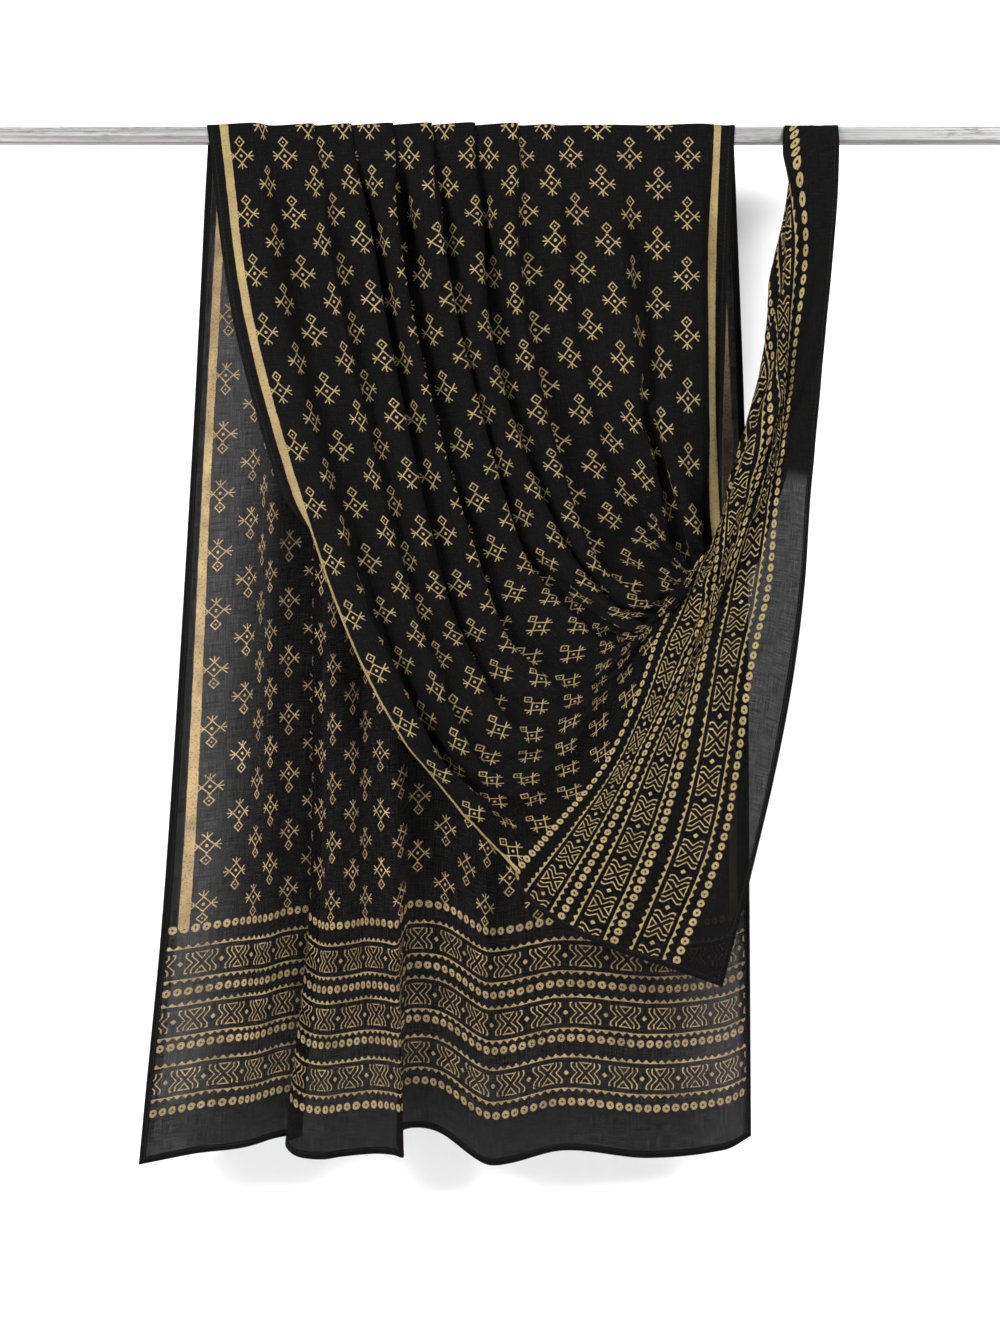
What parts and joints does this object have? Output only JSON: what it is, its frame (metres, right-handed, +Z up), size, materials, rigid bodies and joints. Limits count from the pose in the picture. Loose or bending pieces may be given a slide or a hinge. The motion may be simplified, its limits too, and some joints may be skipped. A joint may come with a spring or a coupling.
{
  "type": "printed dupatta hanging on a bar",
  "caption": "Sheer black cotton dupatta with an ochre hand block print, hung over a plain square bar with one front corner lifted back over it.",
  "frame": {"origin": "centre of the bar's left end face, as seen from the front", "axes": "+X along the bar to the right as seen from the front, +Y from the front fall of the cloth towards the wall behind, +Z up"},
  "size_m": [1.3, 0.1138, 1.2623],
  "materials": {
    "bar_metal": "brushed and scuffed",
    "cotton_voile": "sheer matt voile with a pigment print"
  },
  "bodies": {
    "root": {"bar": "bar_metal", "dupatta": "cotton_voile"}
  },
  "joints": []
}
